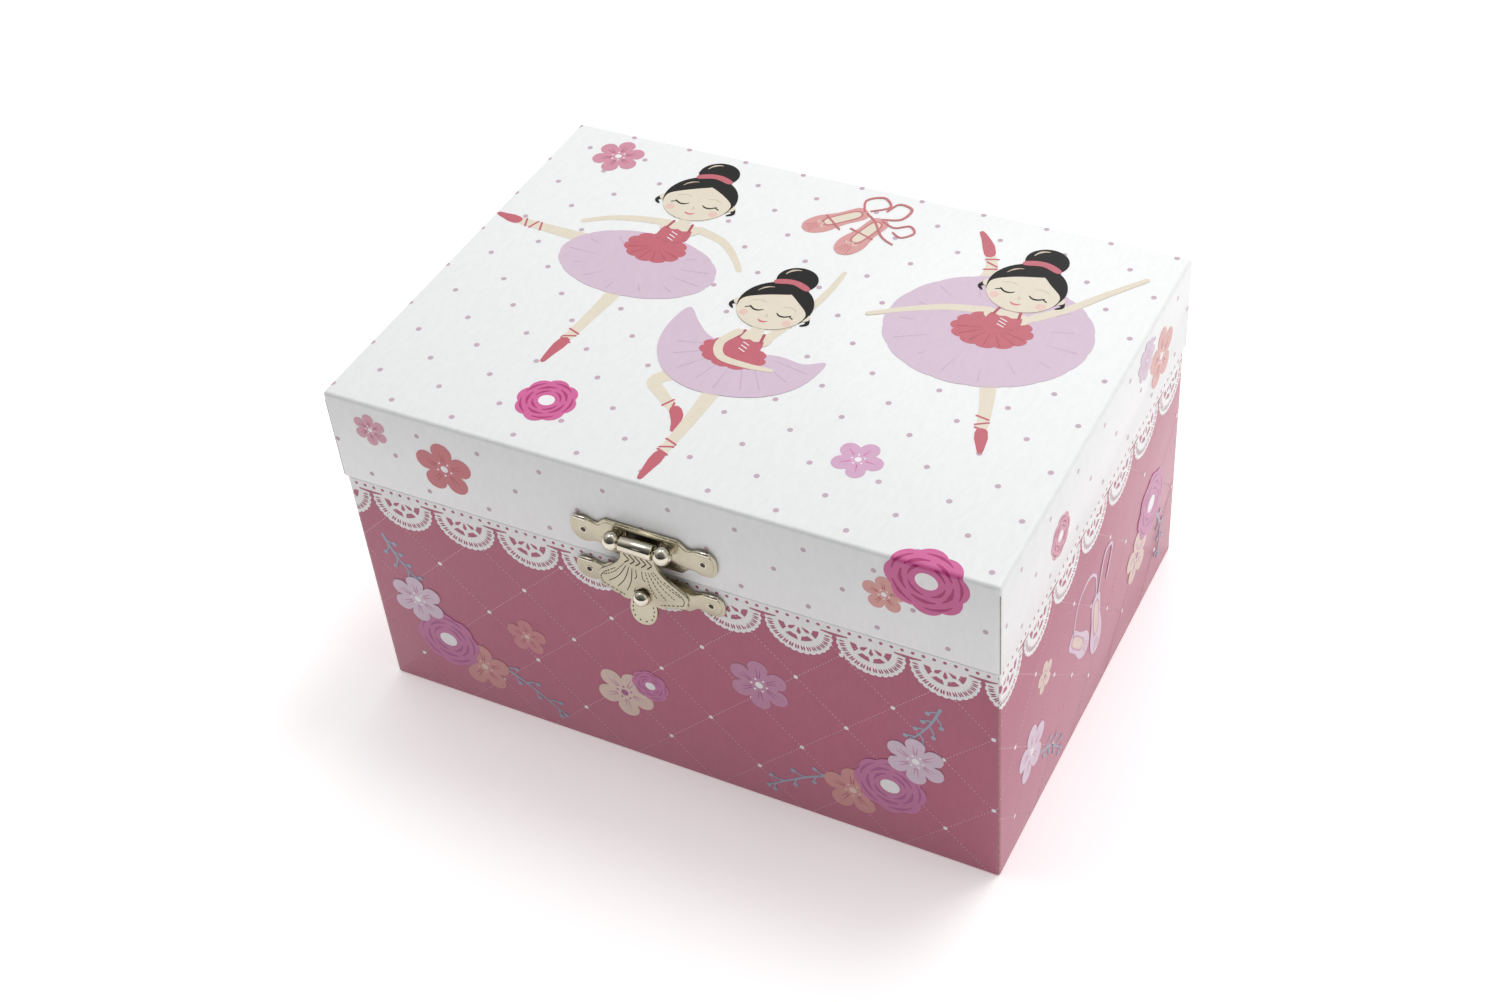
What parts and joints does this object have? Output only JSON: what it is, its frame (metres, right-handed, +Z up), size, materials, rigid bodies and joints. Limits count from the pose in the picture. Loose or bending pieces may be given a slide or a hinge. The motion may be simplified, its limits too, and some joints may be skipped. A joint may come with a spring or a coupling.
{
  "type": "ballerina jewellery box",
  "caption": "Paper-covered musical jewellery box with hinged lid, nickel hasp, mirror, flocked compartments, ring rolls and a dancer that pops up and turns.",
  "frame": {"origin": "centre of the underside of the case, which stands on the table", "axes": "+X to the right along the long side, +Y to the back (the hasp is at the front, -Y), +Z up"},
  "size_m": [0.15, 0.1304, 0.084],
  "materials": {
    "board": "bare 2 mm greyboard",
    "pink_print": "dusty pink printed paper, glossy laminate, white lace and quilting print",
    "white_print": "white printed paper, glossy laminate, mauve dots and dancers",
    "plain_paper": "plain white lining paper",
    "flock": "pink flock over card",
    "padding": "pink velvet over foam",
    "nickel": "nickel-plated stamping, worn and warm",
    "steel": "ground steel",
    "brass": "turned brass",
    "mirror": "silvered glass",
    "white_plastic": "moulded white plastic",
    "post_plastic": "moulded plastic",
    "skin": "painted plastic",
    "bodice": "painted plastic, rose",
    "hair": "painted plastic, dark",
    "tulle": "gathered lilac tulle"
  },
  "bodies": {
    "case": {"base_board": "board", "base_sheet": "plain_paper", "front_board": "board", "back_board": "board", "left_board": "board", "right_board": "board", "case_wrap": "pink_print", "wall_lining": "flock", "floor_lining": "flock", "long_dividers": "flock", "cross_wall": "flock", "tray_divider": "flock", "deck": "board", "deck_lining": "flock", "ring_rolls": "padding", "case_hinge_leaves": "nickel", "hinge_pins": "steel", "case_nails": "nickel", "catch_plate": "nickel", "catch_stud": "nickel", "bedplate": "nickel", "spring_housing": "brass", "comb": "steel", "comb_base": "nickel", "movement_screws": "steel", "foot_bearing": "brass", "spindle_post": "post_plastic", "governor_arm": "nickel", "top_plate": "nickel"},
    "lid": {"lid_top_board": "board", "lid_front_board": "board", "lid_back_board": "board", "lid_left_board": "board", "lid_right_board": "board", "lid_wrap": "white_print", "lid_lining": "flock", "mirror": "mirror", "mirror_frame": "flock", "lid_hinge_leaves": "nickel", "lid_nails": "nickel", "hasp_plate": "nickel", "hasp_pin": "nickel", "stop_block": "flock"},
    "hasp": {"hasp_tongue": "nickel"},
    "key": {"winding_key": "nickel", "key_arbor": "steel", "drive_wheel": "brass"},
    "drum": {"music_drum": "brass", "drum_arbor": "steel"},
    "turntable": {"turntable_spindle": "steel", "turntable": "white_plastic", "dancer_spring": "nickel"},
    "governor": {"governor": "brass"},
    "stop_rod": {"stop_rod": "steel"},
    "dancer": {"dancer_cup": "white_plastic", "dancer_figure": "skin", "dancer_bodice": "bodice", "dancer_tutu": "tulle", "dancer_hair": "hair"}
  },
  "joints": [
    {"name": "lid_hinge", "type": "hinge", "parent": "case", "child": "lid", "pos_m": [0, 0.055, 0.061], "axis": [-1, 0, 0], "range_deg": [0, 100]},
    {"name": "hasp_hinge", "type": "hinge", "parent": "lid", "child": "hasp", "pos_m": [-0.0008, -0.0562, 0.069], "axis": [-1, 0, 0], "range_deg": [0, 160]},
    {"name": "key_turn", "type": "hinge", "parent": "case", "child": "key", "pos_m": [0, 0.045, 0.0142], "axis": [0, 1, 0], "continuous": true},
    {"name": "drum_spin", "type": "hinge", "parent": "case", "child": "drum", "pos_m": [0, 0.026, 0.036], "axis": [0, 0, 1], "continuous": true},
    {"name": "turntable_spin", "type": "hinge", "parent": "case", "child": "turntable", "pos_m": [0, 0.006, 0.056], "axis": [0, 0, 1], "continuous": true},
    {"name": "governor_spin", "type": "hinge", "parent": "case", "child": "governor", "pos_m": [-0.0124, 0.03052, 0.04], "axis": [0, 0, 1], "continuous": true},
    {"name": "stop_slide", "type": "slide", "parent": "case", "child": "stop_rod", "axis": [0, 0, 1], "range_m": [0, 0.0031]},
    {"name": "dancer_tilt", "type": "hinge", "parent": "turntable", "child": "dancer", "pos_m": [0, 0.00494, 0.0618], "axis": [-1, 0, 0], "range_deg": [0, 78.5], "deforming": ["dancer_spring"]}
  ],
  "couplings": [
    {"joint": "drum_spin", "follows": "key_turn", "ratio": -2},
    {"joint": "turntable_spin", "follows": "key_turn", "ratio": 2},
    {"joint": "governor_spin", "follows": "key_turn", "ratio": 6.25},
    {"joint": "stop_slide", "follows": "lid_hinge", "m_per_rad": 0.001719},
    {"joint": "dancer_tilt", "follows": "lid_hinge", "ratio": 0.78}
  ]
}
